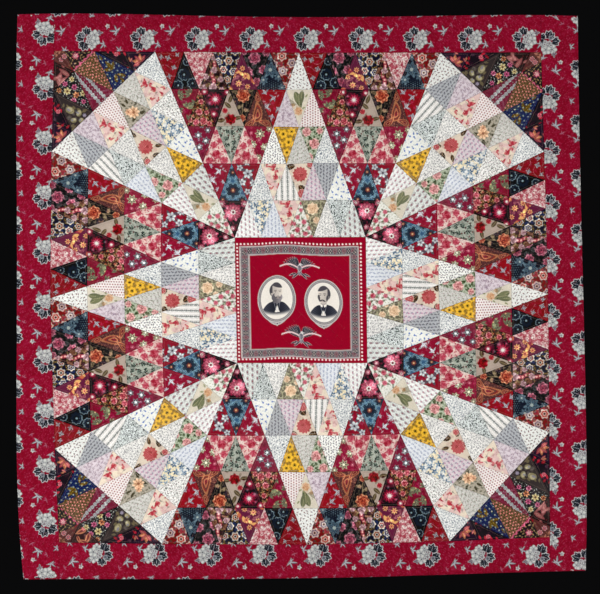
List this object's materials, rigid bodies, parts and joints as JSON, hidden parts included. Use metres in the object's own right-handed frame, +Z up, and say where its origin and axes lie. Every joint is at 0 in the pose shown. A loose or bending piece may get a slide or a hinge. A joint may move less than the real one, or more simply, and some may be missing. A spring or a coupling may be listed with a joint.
{
  "type": "quilt on a wall quilt rack",
  "caption": "Large square pieced quilt with a star of triangles, a printed centre and red borders, hanging by a back sleeve from a rod on a wall rack.",
  "frame": {"origin": "centre of the wall board's back face, on the wall", "axes": "+Z up, +X to the right for someone facing the quilt, +Y into the wall, so the quilt faces -Y"},
  "size_m": [2.1679, 0.0869, 2.1516],
  "materials": {
    "board_wood": "satin oiled oak",
    "rod_wood": "sanded ash",
    "knob_wood": "satin walnut",
    "screw_steel": "zinc plated",
    "plate_steel": "zinc plated",
    "red_cotton": "printed turkey-red cotton",
    "light_cotton": "light printed cottons",
    "dark_cotton": "dark printed cottons",
    "centre_cotton": "printed cotton kerchief",
    "binding_cotton": "printed cotton, folded",
    "batting_cotton": "raw cotton batting",
    "muslin": "unbleached muslin"
  },
  "bodies": {
    "wall_rack": {"bracket_left": "board_wood", "bracket_right": "board_wood", "bracket_screw_left_lower": "screw_steel", "bracket_screw_left_upper": "screw_steel", "bracket_screw_right_lower": "screw_steel", "bracket_screw_right_upper": "screw_steel", "keyhole_plate_left": "plate_steel", "keyhole_plate_right": "plate_steel", "keyhole_screw_left_lower": "screw_steel", "keyhole_screw_left_upper": "screw_steel", "keyhole_screw_right_lower": "screw_steel", "keyhole_screw_right_upper": "screw_steel", "wall_board": "board_wood"},
    "rod": {"rod": "rod_wood"},
    "finial_left": {"finial_left": "knob_wood"},
    "finial_right": {"finial_right": "knob_wood"},
    "quilt": {"backing_centre": "muslin", "backing_left": "muslin", "backing_right": "muslin", "batting": "batting_cotton", "binding_bottom": "binding_cotton", "binding_left": "binding_cotton", "binding_right": "binding_cotton", "binding_top": "binding_cotton", "border_bottom": "red_cotton", "border_left": "red_cotton", "border_right": "red_cotton", "border_top": "red_cotton", "centre_kerchief": "centre_cotton", "corner_block_northeast": "dark_cotton", "corner_block_northwest": "dark_cotton", "corner_block_southeast": "dark_cotton", "corner_block_southwest": "dark_cotton", "dark_wedge_east_north": "dark_cotton", "dark_wedge_east_south": "dark_cotton", "dark_wedge_north_east": "dark_cotton", "dark_wedge_north_west": "dark_cotton", "dark_wedge_south_east": "dark_cotton", "dark_wedge_south_west": "dark_cotton", "dark_wedge_west_north": "dark_cotton", "dark_wedge_west_south": "dark_cotton", "sleeve": "muslin", "star_point_east": "light_cotton", "star_point_north": "light_cotton", "star_point_northeast": "light_cotton", "star_point_northwest": "light_cotton", "star_point_south": "light_cotton", "star_point_southeast": "light_cotton", "star_point_southwest": "light_cotton", "star_point_west": "light_cotton"}
  },
  "joints": [
    {"name": "rod_lift", "type": "slide", "parent": "wall_rack", "child": "rod", "axis": [0, 0, 1], "range_m": [0, 0.045]},
    {"name": "quilt_swing", "type": "hinge", "parent": "rod", "child": "quilt", "pos_m": [0, -0.06, 0], "axis": [-1, 0, 0], "range_deg": [0, 35]},
    {"name": "finial_left_pull", "type": "slide", "parent": "rod", "child": "finial_left", "axis": [-1, 0, 0], "range_m": [0, 0.03]},
    {"name": "finial_right_pull", "type": "slide", "parent": "rod", "child": "finial_right", "axis": [1, 0, 0], "range_m": [0, 0.03]}
  ]
}
